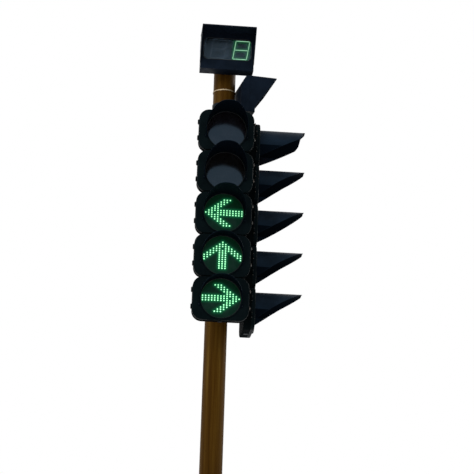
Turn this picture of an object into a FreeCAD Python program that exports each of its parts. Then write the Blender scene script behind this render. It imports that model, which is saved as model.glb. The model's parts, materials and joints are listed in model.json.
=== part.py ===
import FreeCAD, Part
import math
import os

# Traffic signal head on a round pole: a front head and a side head of five
# sections each, and one countdown timer above each head.  Millimetres.
# Origin: middle of the underside of the pole's base flange.  +Z is up, the
# front head faces -Y and the side head faces +X.

V = FreeCAD.Vector

# pole
POLE_R = 84.0
POLE_WALL = 4.0
POLE_JOINT_Z = 3040.0
POLE_TOP_Z = 3440.0
SPIGOT_DROP = 100.0
SPIGOT_WALL = 4.0
SPIGOT_CLEARANCE = 0.2
COLLAR_THICKNESS = 3.0
COLLAR_HEIGHT = 10.0
CAP_WALL = 2.0
CAP_SKIRT = 26.0
CAP_RISE = 12.0

# base flange
FLANGE_R = 150.0
FLANGE_THICKNESS = 18.0
FLANGE_BOLT_R = 115.0
FLANGE_BOLT_HOLE_R = 11.0
FLANGE_CABLE_HOLE_R = 45.0
GUSSET_THICKNESS = 8.0
GUSSET_WIDTH = 62.0
GUSSET_HEIGHT = 75.0

# one signal section
SECTION_W = 410.0
SECTION_H = 318.0
SECTION_PITCH = 320.0
SECTION_COUNT = 5
LOWEST_SECTION_Z = 1310.0
CORNER_R = 74.0
HOUSING_DEPTH = 54.0
HOUSING_WALL = 3.5
HOUSING_BACK_R = 8.0
FRONT_HEAD_PLANE = 382.5
SIDE_HEAD_PLANE = 243.5

# door
DOOR_GAP = 1.5
DOOR_DEPTH = 26.0
DOOR_EDGE_R = 9.0
DOOR_WALL = 3.5
RING_R = 151.5
RING_PROUD = 8.0
OPENING_R = 146.0

# hinge and latch
HINGE_OUT = 4.0
HINGE_Z = (-62.0, 62.0)
KNUCKLE_R = 6.5
KNUCKLE_CLEAR_R = 6.9
KNUCKLE_LENGTH = 16.0
KNUCKLE_GAP = 0.2
PIN_R = 3.0
PIN_HOLE_R = 3.05
PIN_HEAD_R = 3.7
PIN_HEAD = 3.0
LATCH_REACH = 12.0
LATCH_HEIGHT = 20.0
LATCH_THICKNESS = 11.0
LATCH_HOLE_R = 3.3

# lens and lamp module
LENS_R = 145.5
LENS_RISE = {"domed": 15.0, "flat": 6.0}
LENS_WALL = 4.0
LENS_FLANGE_R = 153.0
LENS_FLANGE = 6.0
MODULE_R = 138.0
MODULE_BACK_R = 118.0
MODULE_BACK = 26.0
MODULE_STRAIGHT = 12.0
GLAND_HOLE_R = 12.0

# visor
VISOR_R = 155.0
VISOR_WALL = 3.0
VISOR_LENGTHS = {"front": (230.0, 250.0, 250.0, 120.0, 120.0), "side": (360.0,) * 5}
VISOR_LOW_Z = -78.0
VISOR_TIP_Z = 147.0
EAR_REACH = 15.0
EAR_WIDTH = 26.0
EAR_ANGLES = (50.0, 108.0)
EAR_HOLE_R = 2.6

# countdown timer
TIMER_W = 408.0
TIMER_H = 290.0
TIMER_DEPTH = 108.0
TIMER_WALL = 2.5
TIMER_BACK_PLANE = 91.0
TIMER_SLOPE_DEPTH = 36.0
TIMER_SLOPE_DROP = 63.0
HOOD_REACH = 165.0
HOOD_WALL = 2.0
HOOD_OVERLAP = 40.0
HOOD_LIP = 8.0
HOOD_LOW_Z = -95.0
WINDOW_W = 368.0
WINDOW_H = 174.0
WINDOW_CORNER_R = 36.0
WINDOW_CENTRE_Z = 20.0
PANE_THICKNESS = 4.0
PANE_LAP = 9.0
BOARD_THICKNESS = 6.0
BOARD_GAP = 10.0
STANDOFF_R = 5.0
FRONT_TIMER_Z = 3306.0
SIDE_TIMER_Z = 2983.0

# clamps and bracket arms
BAND_WALL = 5.0
BAND_HEIGHT = 40.0
BAND_GAP = 4.0
EAR_LENGTH = 24.0
EAR_THICKNESS = 5.0
BAND_BOLT_R = 4.0
BOLT_HEAD_R = 6.5
BOLT_HEAD = 5.0
NUT_THICKNESS = 6.0
SADDLE_W = 120.0
SADDLE_H = 50.0
SADDLE_INNER = 76.0
ARM_SIZE = 50.0
ARM_WALL = 4.0
PLATE_W = 120.0
PLATE_H = 100.0
PLATE_THICKNESS = 8.0
PLATE_BOLT_X = 44.0
PLATE_BOLT_Z = 36.0
BOLT_HOLE_R = 4.4
FRONT_ARM_SHIFT = 34.0
SIDE_ARM_SHIFT = -34.0
TIMER_CLAMP_LEVELS = {"front": (-80.0, 20.0), "side": (-120.0, -68.0)}
TIMER_SCREW_R = 3.0
TIMER_SCREW_HOLE_R = 3.2
TIMER_SCREW_X = 50.0

# couplers between sections
COUPLER_R = 14.0
COUPLER_BORE_R = 10.0
COUPLER_NUT_R = 18.5
COUPLER_NUT = 6.0
COUPLER_Y = 20.5
PLUG_HEAD_R = 18.0
PLUG_HEAD = 4.0

FRONT_TURN = 0.0
SIDE_TURN = 90.0
SIDE_TIMER_TURN = 98.0
HEADS = (("front", FRONT_HEAD_PLANE, FRONT_TURN), ("side", SIDE_HEAD_PLANE, SIDE_TURN))
TIMERS = (("front", FRONT_TIMER_Z, FRONT_TURN), ("side", SIDE_TIMER_Z, SIDE_TIMER_TURN))
POLE_INNER_R = POLE_R - POLE_WALL
BAND_R = POLE_R + BAND_WALL
DOOR_BACK = -DOOR_GAP
DOOR_FACE = -DOOR_GAP - DOOR_DEPTH
TIMER_FACE_PLANE = TIMER_BACK_PLANE + TIMER_DEPTH
HINGE_X = -SECTION_W / 2 - HINGE_OUT
HINGE_Y = -DOOR_GAP / 2


def section_z(number):
    """Height of the middle of section 1 (top) to SECTION_COUNT (bottom)."""
    return LOWEST_SECTION_Z + (SECTION_COUNT - number) * SECTION_PITCH


def place(shape, plane, z, turn):
    """Move a local shape out to its plane and height, then round the pole."""
    moved = shape.copy()
    moved.translate(V(0, -plane, z))
    moved.rotate(V(0, 0, 0), V(0, 0, 1), turn)
    return moved


def save(name, shape):
    shape.exportStep("parts/" + name + ".step")


def box(x0, x1, y0, y1, z0, z1):
    return Part.makeBox(x1 - x0, y1 - y0, z1 - z0, V(x0, y0, z0))


def cylinder_y(radius, y0, y1, x=0.0, z=0.0):
    return Part.makeCylinder(radius, y1 - y0, V(x, y0, z), V(0, 1, 0))


def cylinder_z(radius, z0, z1, x=0.0, y=0.0):
    return Part.makeCylinder(radius, z1 - z0, V(x, y, z0), V(0, 0, 1))


def tube_z(outer, inner, z0, z1, x=0.0, y=0.0):
    return cylinder_z(outer, z0, z1, x, y).cut(cylinder_z(inner, z0 - 1, z1 + 1, x, y))


def prism_x(points, x0, x1):
    """Extrude a closed outline of (y, z) points along X."""
    loop = [V(x0, y, z) for y, z in points]
    face = Part.Face(Part.makePolygon(loop + loop[:1]))
    return face.extrude(V(x1 - x0, 0, 0))


def revolve_y(edges):
    """Turn a closed profile in the XY plane about the Y axis."""
    face = Part.Face(Part.Wire(edges))
    return face.revolve(V(0, 0, 0), V(0, 1, 0), 360)


def path(points):
    return [Part.makeLine(V(*a), V(*b)) for a, b in zip(points, points[1:])]


def fillet_at(shape, radius, level):
    """Round every edge that lies wholly in the plane y = level."""
    edges = [e for e in shape.Edges if all(abs(v.Y - level) < 1e-6 for v in e.Vertexes)]
    return shape.makeFillet(radius, edges)


def rounded_slab(width, height, radius, y0, y1):
    slab = box(-width / 2, width / 2, y0, y1, -height / 2, height / 2)
    corners = [e for e in slab.Edges if abs(e.tangentAt(e.FirstParameter).y) > 0.9]
    return slab.makeFillet(radius, corners)


def fused(shapes):
    whole = shapes[0].multiFuse(shapes[1:]) if len(shapes) > 1 else shapes[0]
    return whole.removeSplitter()


# ---------------------------------------------------------------- pole

def base_flange():
    plate = cylinder_z(FLANGE_R, 0, FLANGE_THICKNESS)
    pieces = [plate]
    top = FLANGE_THICKNESS
    for quarter in range(4):
        outline = [(POLE_R, top - 1), (POLE_R + GUSSET_WIDTH, top - 1), (POLE_R + GUSSET_WIDTH, top + 10),
                   (POLE_R + 10, top + GUSSET_HEIGHT), (POLE_R, top + GUSSET_HEIGHT)]
        gusset = prism_x(outline, -GUSSET_THICKNESS / 2, GUSSET_THICKNESS / 2)
        gusset.rotate(V(0, 0, 0), V(0, 0, 1), 90 * quarter)
        pieces.append(gusset)
    body = fused(pieces)
    body = body.cut(cylinder_z(FLANGE_CABLE_HOLE_R, -1, top + 1))
    body = body.cut(cylinder_z(POLE_R, top, top + GUSSET_HEIGHT + 1))
    for quarter in range(4):
        angle = math.radians(45 + 90 * quarter)
        x = FLANGE_BOLT_R * math.cos(angle)
        y = FLANGE_BOLT_R * math.sin(angle)
        body = body.cut(cylinder_z(FLANGE_BOLT_HOLE_R, -1, top + 1, x, y))
    return body


def pole_upper_tube():
    spigot_r = POLE_INNER_R - SPIGOT_CLEARANCE
    main = tube_z(POLE_R, POLE_INNER_R, POLE_JOINT_Z, POLE_TOP_Z)
    spigot = tube_z(spigot_r, spigot_r - SPIGOT_WALL, POLE_JOINT_Z - SPIGOT_DROP, POLE_JOINT_Z + 30)
    weld = tube_z(POLE_R - 1, spigot_r - 1, POLE_JOINT_Z, POLE_JOINT_Z + 30)
    return fused([main, spigot, weld])


def pole_cap():
    rim = POLE_R + CAP_WALL
    low = POLE_TOP_Z - CAP_SKIRT
    solid = cylinder_z(rim, low, POLE_TOP_Z + CAP_WALL)
    crown = Part.makeCone(rim, rim * 0.55, CAP_RISE, V(0, 0, POLE_TOP_Z + CAP_WALL), V(0, 0, 1))
    solid = fused([solid, crown])
    return solid.cut(cylinder_z(POLE_R + 0.1, low - 1, POLE_TOP_Z))


def make_pole():
    save("base_flange", base_flange())
    save("pole_lower_tube", tube_z(POLE_R, POLE_INNER_R, FLANGE_THICKNESS, POLE_JOINT_Z))
    save("pole_upper_tube", pole_upper_tube())
    low = POLE_JOINT_Z - COLLAR_HEIGHT / 2
    save("pole_joint_collar", tube_z(POLE_R + COLLAR_THICKNESS, POLE_R, low, low + COLLAR_HEIGHT))
    save("pole_cap", pole_cap())


# ------------------------------------------------------------- section

def housing(plate_shift):
    """Back case of one section; plate_shift is the height of its bracket plate, or None."""
    half = SECTION_W / 2
    wall = HOUSING_WALL
    outer = rounded_slab(SECTION_W, SECTION_H, CORNER_R, 0, HOUSING_DEPTH)
    outer = fillet_at(outer, HOUSING_BACK_R, HOUSING_DEPTH)
    inner = rounded_slab(SECTION_W - 2 * wall, SECTION_H - 2 * wall, CORNER_R - wall, -1, HOUSING_DEPTH - wall)
    inner = fillet_at(inner, HOUSING_BACK_R - wall, HOUSING_DEPTH - wall)
    shell = outer.cut(inner)
    pieces = [shell]
    for z in HINGE_Z:
        low = z - KNUCKLE_LENGTH
        pieces.append(cylinder_z(KNUCKLE_R, low, z - KNUCKLE_GAP, HINGE_X, HINGE_Y))
        pieces.append(box(HINGE_X, -half + wall, 0, KNUCKLE_R + HINGE_Y, low, z - KNUCKLE_GAP))
        pieces.append(box(half - wall, half + LATCH_REACH, 0, LATCH_THICKNESS, z - LATCH_HEIGHT / 2,
                          z + LATCH_HEIGHT / 2))
    body = fused(pieces)
    for z in HINGE_Z:
        body = body.cut(cylinder_z(PIN_HOLE_R, z - KNUCKLE_LENGTH - 1, z, HINGE_X, HINGE_Y))
        body = body.cut(cylinder_z(KNUCKLE_CLEAR_R, z - KNUCKLE_GAP, z + KNUCKLE_LENGTH + 0.4, HINGE_X, HINGE_Y))
        body = body.cut(cylinder_y(LATCH_HOLE_R, -1, LATCH_THICKNESS + 1, half + LATCH_REACH / 2, z))
    body = body.cut(cylinder_z(COUPLER_R, -SECTION_H, SECTION_H, 0, COUPLER_Y))
    if plate_shift is not None:
        for x in (-PLATE_BOLT_X, PLATE_BOLT_X):
            for z in (-PLATE_BOLT_Z, PLATE_BOLT_Z):
                hole = cylinder_y(BOLT_HOLE_R, HOUSING_DEPTH - 10, HOUSING_DEPTH + 1, x, z + plate_shift)
                body = body.cut(hole)
    return body


def door():
    half = SECTION_W / 2
    wall = DOOR_WALL
    outer = rounded_slab(SECTION_W, SECTION_H, CORNER_R, DOOR_FACE, DOOR_BACK)
    outer = fillet_at(outer, DOOR_EDGE_R, DOOR_FACE)
    hollow = rounded_slab(SECTION_W - 2 * wall, SECTION_H - 2 * wall, CORNER_R - wall, DOOR_FACE + wall, 0)
    shell = outer.cut(hollow)
    pieces = [shell, cylinder_y(RING_R, DOOR_FACE - RING_PROUD, DOOR_FACE + wall)]
    for z in HINGE_Z:
        low = z + KNUCKLE_GAP
        high = z + KNUCKLE_LENGTH
        pieces.append(cylinder_z(KNUCKLE_R, low, high, HINGE_X, HINGE_Y))
        pieces.append(box(HINGE_X, -half + wall, HINGE_Y - KNUCKLE_R, DOOR_BACK, low, high))
        pieces.append(box(half - wall, half + LATCH_REACH, DOOR_BACK - LATCH_THICKNESS, DOOR_BACK,
                          z - LATCH_HEIGHT / 2, z + LATCH_HEIGHT / 2))
    for x in (-1, 1):
        for z in (-1, 1):
            pieces.append(cylinder_y(6.0, DOOR_FACE + 1, DOOR_BACK - 6, 119 * x, 117 * z))
    body = fused(pieces)
    body = body.cut(cylinder_y(OPENING_R, DOOR_FACE - RING_PROUD - 1, 1))
    for z in HINGE_Z:
        body = body.cut(cylinder_z(PIN_HOLE_R, z - 1, z + KNUCKLE_LENGTH + 1, HINGE_X, HINGE_Y))
        body = body.cut(cylinder_z(KNUCKLE_CLEAR_R, z - KNUCKLE_LENGTH - 0.4, z + KNUCKLE_GAP, HINGE_X, HINGE_Y))
        body = body.cut(cylinder_y(LATCH_HOLE_R, DOOR_FACE, 1, half + LATCH_REACH / 2, z))
    return body


def lens(rise):
    """Sealed lamp module: domed cover, clamped flange and tapered rear cup."""
    front = DOOR_FACE + DOOR_WALL - 2
    flange = DOOR_FACE + DOOR_WALL
    back = flange + LENS_FLANGE
    mid_r = LENS_R * 0.5
    mid_y = front - rise * (1 - 0.5 ** 2)
    dome = Part.Arc(V(0, front - rise, 0), V(mid_r, mid_y, 0), V(LENS_R, front, 0)).toShape()
    outline = path([(LENS_R, front, 0), (LENS_R, flange, 0), (LENS_FLANGE_R, flange, 0),
                    (LENS_FLANGE_R, back, 0), (MODULE_R, back, 0), (MODULE_R, back + MODULE_STRAIGHT, 0),
                    (MODULE_BACK_R, MODULE_BACK, 0), (0, MODULE_BACK, 0), (0, front - rise, 0)])
    solid = revolve_y([dome] + outline)
    wall = LENS_WALL
    inner_r = MODULE_R - wall
    top = front - rise + wall
    low = front - rise * (1 - (inner_r / LENS_R) ** 2) + wall
    mid = front - rise * (1 - (inner_r / 2 / LENS_R) ** 2) + wall
    dome = Part.Arc(V(0, top, 0), V(inner_r / 2, mid, 0), V(inner_r, low, 0)).toShape()
    outline = path([(inner_r, low, 0), (inner_r, back + MODULE_STRAIGHT, 0),
                    (MODULE_BACK_R - wall, MODULE_BACK - wall, 0), (0, MODULE_BACK - wall, 0), (0, top, 0)])
    hollow = revolve_y([dome] + outline)
    return solid.cut(hollow).cut(cylinder_y(GLAND_HOLE_R, 0, MODULE_BACK + 1))


def visor_outline(style, length):
    """Side outline (y, z) kept from the visor tube, seen from its right-hand side."""
    base = DOOR_FACE
    tip = base - length
    above = VISOR_R + 1
    cuts = {
        "plain": [(tip, VISOR_TIP_Z), (base - 0.6 * length, 70.0), (base - 0.4 * length, 24.0),
                  (base, VISOR_LOW_Z)],
        "bulged": [(tip, VISOR_TIP_Z), (base - 103, -8.0), (base, -66.0)],
        "lipped": [(tip, 151.0), (tip + 22, 138.0), (tip + 32, 92.0), (tip + 54, 62.0), (base, -90.0)],
    }
    return [(base, above), (tip, above)] + cuts[style]


def visor(style, length):
    tube = cylinder_y(VISOR_R, DOOR_FACE - length, DOOR_FACE)
    pieces = [tube]
    for angle in EAR_ANGLES:
        for side in (-1, 1):
            ear = box(-EAR_WIDTH / 2, EAR_WIDTH / 2, DOOR_FACE - VISOR_WALL, DOOR_FACE,
                      VISOR_R - 2, VISOR_R + EAR_REACH)
            ear = ear.cut(cylinder_y(EAR_HOLE_R, DOOR_FACE - 5, DOOR_FACE + 1, 0, VISOR_R + EAR_REACH / 2))
            ear.rotate(V(0, 0, 0), V(0, 1, 0), side * angle)
            pieces.append(ear)
    body = fused(pieces)
    body = body.cut(cylinder_y(VISOR_R - VISOR_WALL, DOOR_FACE - length - 1, DOOR_FACE + 1))
    keep = prism_x(visor_outline(style, length), -SECTION_W / 2, SECTION_W / 2)
    return body.common(keep)


def hinge_pin(z):
    shank = cylinder_z(PIN_R, z - KNUCKLE_LENGTH - 4, z + KNUCKLE_LENGTH + 1, HINGE_X, HINGE_Y)
    head = cylinder_z(PIN_HEAD_R, z + KNUCKLE_LENGTH + 0.4, z + KNUCKLE_LENGTH + 0.4 + PIN_HEAD, HINGE_X, HINGE_Y)
    tail = cylinder_z(PIN_HEAD_R, z - KNUCKLE_LENGTH - PIN_HEAD, z - KNUCKLE_LENGTH, HINGE_X, HINGE_Y)
    return fused([shank, head, tail])


def arm_shift(head, number):
    """Height of the bracket plate on this section's back, or None without a bracket."""
    shift = FRONT_ARM_SHIFT if head == "front" else SIDE_ARM_SHIFT
    return {1: shift, SECTION_COUNT: -shift}.get(number)


VISOR_STYLES = {("side", 1): "lipped", ("side", 3): "bulged"}
DOMED = (1, 2)


def make_sections():
    leaf = door()
    covers = {style: lens(rise) for style, rise in LENS_RISE.items()}
    pins = []
    for head, plane, turn in HEADS:
        for number in range(1, SECTION_COUNT + 1):
            z = section_z(number)
            tag = str(number)
            style = VISOR_STYLES.get((head, number), "plain")
            cover = "domed" if number in DOMED else "flat"
            save(head + "_housing_" + tag, place(housing(arm_shift(head, number)), plane, z, turn))
            save(head + "_door_" + tag, place(leaf, plane, z, turn))
            save(head + "_lens_" + tag, place(covers[cover], plane, z, turn))
            cap = visor(style, VISOR_LENGTHS[head][number - 1])
            save(head + "_visor_" + tag, place(cap, plane, z, turn))
            pins.extend(place(hinge_pin(level), plane, z, turn) for level in HINGE_Z)
    save("hinge_pins", Part.makeCompound(pins))


def coupler():
    """Hollow coupler through the joint at z = 0, with a washer and two nuts."""
    half_gap = (SECTION_PITCH - SECTION_H) / 2
    inside = half_gap + HOUSING_WALL
    reach = inside + COUPLER_NUT + 2
    parts = [tube_z(COUPLER_R, COUPLER_BORE_R, -reach, reach, 0, COUPLER_Y),
             tube_z(COUPLER_NUT_R, COUPLER_R, -half_gap, half_gap, 0, COUPLER_Y),
             tube_z(COUPLER_NUT_R, COUPLER_R, inside, inside + COUPLER_NUT, 0, COUPLER_Y),
             tube_z(COUPLER_NUT_R, COUPLER_R, -inside - COUPLER_NUT, -inside, 0, COUPLER_Y)]
    return parts


def end_plug(side):
    """Plug in an open end hole; side is +1 for the top end and -1 for the bottom."""
    wall = HOUSING_WALL
    depth = wall + COUPLER_NUT + 2
    head = cylinder_z(PLUG_HEAD_R, 0, PLUG_HEAD, 0, COUPLER_Y)
    shank = tube_z(COUPLER_R, COUPLER_BORE_R, -depth, 0, 0, COUPLER_Y)
    nut = tube_z(COUPLER_NUT_R, COUPLER_R, -wall - COUPLER_NUT, -wall, 0, COUPLER_Y)
    parts = [fused([head, shank]), nut]
    if side < 0:
        for part in parts:
            part.rotate(V(0, 0, 0), V(0, 1, 0), 180)
    return parts


def make_couplers():
    pieces = []
    for _, plane, turn in HEADS:
        for number in range(1, SECTION_COUNT):
            joint = section_z(number) - SECTION_PITCH / 2
            pieces.extend(place(part, plane, joint, turn) for part in coupler())
        top = section_z(1) + SECTION_H / 2
        low = section_z(SECTION_COUNT) - SECTION_H / 2
        pieces.extend(place(part, plane, top, turn) for part in end_plug(1))
        pieces.extend(place(part, plane, low, turn) for part in end_plug(-1))
    save("section_couplers", Part.makeCompound(pieces))


# --------------------------------------------------------------- timer

def timer_case(head):
    half_h = TIMER_H / 2
    wall = TIMER_WALL
    slope = math.hypot(TIMER_SLOPE_DEPTH, TIMER_SLOPE_DROP)
    knee_y = TIMER_DEPTH - TIMER_SLOPE_DEPTH
    knee_z = half_h - TIMER_SLOPE_DROP
    outer = prism_x([(0, -half_h), (TIMER_DEPTH, -half_h), (TIMER_DEPTH, knee_z), (knee_y, half_h),
                     (0, half_h)], -TIMER_W / 2, TIMER_W / 2)
    inset_y = wall * (slope - TIMER_SLOPE_DEPTH) / TIMER_SLOPE_DROP
    inset_z = wall * (slope - TIMER_SLOPE_DROP) / TIMER_SLOPE_DEPTH
    inner = prism_x([(wall, -half_h + wall), (TIMER_DEPTH - wall, -half_h + wall),
                     (TIMER_DEPTH - wall, knee_z - inset_z), (knee_y - inset_y, half_h - wall),
                     (wall, half_h - wall)], -TIMER_W / 2 + wall, TIMER_W / 2 - wall)
    body = outer.cut(inner)
    opening = rounded_slab(WINDOW_W, WINDOW_H, WINDOW_CORNER_R, -1, wall + 1)
    opening.translate(V(0, 0, WINDOW_CENTRE_Z))
    body = body.cut(opening)
    for x in (-TIMER_SCREW_X, TIMER_SCREW_X):
        for z in TIMER_CLAMP_LEVELS[head]:
            hole = cylinder_y(TIMER_SCREW_HOLE_R, TIMER_DEPTH - 5, TIMER_DEPTH + 1, x, z)
            body = body.cut(hole)
    return body


def timer_hood(_):
    half_h = TIMER_H / 2
    half_w = TIMER_W / 2
    top = half_h + HOOD_WALL
    roof = box(-half_w - HOOD_WALL, half_w + HOOD_WALL, -HOOD_REACH, HOOD_OVERLAP, half_h, top)
    outline = [(-HOOD_REACH, top), (-HOOD_REACH, top - HOOD_LIP), (0, HOOD_LOW_Z),
               (HOOD_OVERLAP, HOOD_LOW_Z), (HOOD_OVERLAP, top)]
    left = prism_x(outline, -half_w - HOOD_WALL, -half_w)
    right = prism_x(outline, half_w, half_w + HOOD_WALL)
    lip = box(-half_w - HOOD_WALL, half_w + HOOD_WALL, -HOOD_REACH, -HOOD_REACH + HOOD_WALL,
              top - HOOD_LIP, top)
    return fused([roof, left, right, lip])


def timer_pane(_):
    pane = rounded_slab(WINDOW_W + 2 * PANE_LAP, WINDOW_H + 2 * PANE_LAP, WINDOW_CORNER_R + PANE_LAP,
                        TIMER_WALL, TIMER_WALL + PANE_THICKNESS)
    pane.translate(V(0, 0, WINDOW_CENTRE_Z))
    return pane


def timer_board(_):
    front = TIMER_WALL + PANE_THICKNESS + BOARD_GAP
    board = rounded_slab(WINDOW_W - 6, WINDOW_H - 6, WINDOW_CORNER_R - 3, front, front + BOARD_THICKNESS)
    pieces = [board]
    for x in (-1, 1):
        for z in (-1, 1):
            pieces.append(cylinder_y(STANDOFF_R, front + BOARD_THICKNESS - 1, TIMER_DEPTH - TIMER_WALL,
                                     x * (WINDOW_W / 2 - 35), z * (WINDOW_H / 2 - 35)))
    body = fused(pieces)
    body.translate(V(0, 0, WINDOW_CENTRE_Z))
    return body


def make_timers():
    makers = (("case", timer_case), ("hood", timer_hood), ("window", timer_pane), ("board", timer_board))
    for suffix, maker in makers:
        for head, z, turn in TIMERS:
            save(head + "_timer_" + suffix, place(maker(head), TIMER_FACE_PLANE, z, turn))


# ------------------------------------------------- clamps and brackets

def clamp_halves():
    """Two half bands round the pole at z = 0 with bolted ears on the X sides."""
    half = BAND_HEIGHT / 2
    halves = []
    for side in (-1, 1):
        ring = tube_z(BAND_R, POLE_R, -half, half)
        keep = box(-BAND_R, BAND_R, BAND_GAP / 2, BAND_R, -half, half)
        ears = [box(BAND_R - 2, BAND_R + EAR_LENGTH, BAND_GAP / 2, BAND_GAP / 2 + EAR_THICKNESS, -half, half),
                box(-BAND_R - EAR_LENGTH, -BAND_R + 2, BAND_GAP / 2, BAND_GAP / 2 + EAR_THICKNESS, -half, half)]
        shape = fused([ring.common(keep)] + ears)
        for x in (-1, 1):
            bolt_x = x * (BAND_R + EAR_LENGTH / 2)
            shape = shape.cut(cylinder_y(BOLT_HOLE_R, -20, 20, bolt_x, 0))
        if side < 0:
            shape.rotate(V(0, 0, 0), V(0, 0, 1), 180)
        halves.append(shape)
    return halves


def clamp_bolts():
    outside = BAND_GAP / 2 + EAR_THICKNESS
    bolts = []
    for x in (-1, 1):
        bolt_x = x * (BAND_R + EAR_LENGTH / 2)
        shank = cylinder_y(BAND_BOLT_R, -outside - BOLT_HEAD, outside + NUT_THICKNESS + 3, bolt_x, 0)
        head = cylinder_y(BOLT_HEAD_R, -outside - BOLT_HEAD, -outside, bolt_x, 0)
        nut = cylinder_y(BOLT_HEAD_R, outside, outside + NUT_THICKNESS, bolt_x, 0)
        bolts.append(fused([shank, head, nut]))
    return bolts


def timer_saddle():
    block = box(-SADDLE_W / 2, SADDLE_W / 2, -TIMER_BACK_PLANE, -SADDLE_INNER, -SADDLE_H / 2, SADDLE_H / 2)
    block = block.cut(cylinder_z(BAND_R, -SADDLE_H, SADDLE_H))
    for x in (-TIMER_SCREW_X, TIMER_SCREW_X):
        block = block.cut(cylinder_y(TIMER_SCREW_HOLE_R, -TIMER_BACK_PLANE - 1, 0, x, 0))
    return block


def timer_screws():
    screws = []
    for x in (-TIMER_SCREW_X, TIMER_SCREW_X):
        inside = -TIMER_BACK_PLANE - TIMER_WALL
        shank = cylinder_y(TIMER_SCREW_R, -TIMER_BACK_PLANE - TIMER_WALL - 3, -SADDLE_INNER, x, 0)
        shank = shank.fuse(cylinder_y(BOLT_HEAD_R, inside - 3, -TIMER_BACK_PLANE - TIMER_WALL, x, 0))
        screws.append(fused([shank]))
    return screws


def head_arm(plane):
    """Square tube from the clamp band to a plate on the back of a housing."""
    back = -(plane - HOUSING_DEPTH)
    half = ARM_SIZE / 2
    hollow = half - ARM_WALL
    plate_in = back + PLATE_THICKNESS
    arm = box(-half, half, plate_in - 1, -SADDLE_INNER, -half, half)
    arm = arm.cut(box(-hollow, hollow, plate_in, 0, -hollow, hollow))
    plate = box(-PLATE_W / 2, PLATE_W / 2, back, plate_in, -PLATE_H / 2, PLATE_H / 2)
    body = fused([arm, plate])
    body = body.cut(cylinder_z(BAND_R, -PLATE_H, PLATE_H))
    for x in (-PLATE_BOLT_X, PLATE_BOLT_X):
        for z in (-PLATE_BOLT_Z, PLATE_BOLT_Z):
            body = body.cut(cylinder_y(BOLT_HOLE_R, back - 1, plate_in + 1, x, z))
    return body


def plate_bolts(plane):
    back = -(plane - HOUSING_DEPTH)
    outer = back + PLATE_THICKNESS
    inner = back - HOUSING_WALL
    bolts = []
    for x in (-PLATE_BOLT_X, PLATE_BOLT_X):
        for z in (-PLATE_BOLT_Z, PLATE_BOLT_Z):
            shank = cylinder_y(BAND_BOLT_R, inner - NUT_THICKNESS, outer + BOLT_HEAD, x, z)
            head = cylinder_y(BOLT_HEAD_R, outer, outer + BOLT_HEAD, x, z)
            nut = cylinder_y(BOLT_HEAD_R, inner - NUT_THICKNESS, inner, x, z)
            bolts.append(fused([shank, head, nut]))
    return bolts


def turned(shapes, z, turn):
    return [place(shape, 0.0, z, turn) for shape in shapes]


def make_brackets():
    bands = []
    bolts = []
    saddles = []
    for head, plane, turn in HEADS:
        arms = []
        for number in (1, SECTION_COUNT):
            z = section_z(number) + arm_shift(head, number)
            arms.extend(turned([head_arm(plane)], z, turn))
            bands.extend(turned(clamp_halves(), z, turn))
            bolts.extend(turned(clamp_bolts() + plate_bolts(plane), z, turn))
        save(head + "_head_arms", Part.makeCompound(arms))
    for head, z, turn in TIMERS:
        for level in [z + shift for shift in TIMER_CLAMP_LEVELS[head]]:
            saddles.extend(turned([timer_saddle()], level, turn))
            bands.extend(turned(clamp_halves(), level, turn))
            bolts.extend(turned(clamp_bolts() + timer_screws(), level, turn))
    save("timer_saddles", Part.makeCompound(saddles))
    save("pole_clamp_bands", Part.makeCompound(bands))
    save("bracket_bolts", Part.makeCompound(bolts))


os.makedirs("parts", exist_ok=True)
make_pole()
make_sections()
make_couplers()
make_timers()
make_brackets()
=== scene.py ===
import bpy
import json
import math
from mathutils import Matrix, Vector


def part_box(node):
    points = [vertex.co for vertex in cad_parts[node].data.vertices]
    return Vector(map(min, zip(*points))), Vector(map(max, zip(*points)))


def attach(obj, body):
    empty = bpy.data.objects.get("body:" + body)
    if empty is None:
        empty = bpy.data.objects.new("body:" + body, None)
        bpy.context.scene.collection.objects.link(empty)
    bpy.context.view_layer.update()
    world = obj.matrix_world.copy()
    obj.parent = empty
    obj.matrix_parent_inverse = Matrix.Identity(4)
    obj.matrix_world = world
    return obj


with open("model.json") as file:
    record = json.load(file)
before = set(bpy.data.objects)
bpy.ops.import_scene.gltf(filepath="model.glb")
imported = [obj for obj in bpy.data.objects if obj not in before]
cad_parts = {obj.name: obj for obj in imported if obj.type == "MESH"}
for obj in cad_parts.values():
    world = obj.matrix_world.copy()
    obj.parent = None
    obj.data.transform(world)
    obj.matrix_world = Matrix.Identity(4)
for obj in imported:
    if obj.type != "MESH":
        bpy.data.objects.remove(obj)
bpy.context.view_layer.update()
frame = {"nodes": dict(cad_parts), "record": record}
NODES = frame["nodes"]
ROOT = "mast"

# Sizes below are in metres, in a section's or timer's own frame: X to its
# right, Y into it, Z up, with the origin in its parting or face plane.
HOUSING_DEPTH = 0.054
TIMER_FACE_PLANE = 0.199
TIMER_TURN = {"front": 0, "side": 98}
DOOR_FACE = -0.0275
RING_FRONT = -0.0355
OPENING_R = 0.146
SEAL_PATH_R = OPENING_R - 0.0002
LENS_R = 0.1455
LENS_EDGE_Y = -0.026
LENS_RISE = {"domed": 0.015, "flat": 0.006}
MODULE_BACK = 0.026
SECTION_W = 0.410
SECTION_H = 0.318
CORNER_R = 0.074
VISOR_R = 0.155
VISOR_WALL = 0.003
VISOR_BEAD_R = 0.0021
BEAD_STEPS = 120
VISOR_BASE_Z = -0.078
VISOR_TIP_Z = 0.147
VISOR_LENGTHS = {"front": (0.23, 0.25, 0.25, 0.12, 0.12), "side": (0.36,) * 5}
LATCH_X = 0.211
LATCH_Z = 0.062
LATCH_FACE = -0.0125
HOOD_X = 0.206
HOOD_TIP_Y = -0.165
HOOD_TIP_Z = 0.139
HOOD_LOW_Z = -0.095
WINDOW_W = 0.368
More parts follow.
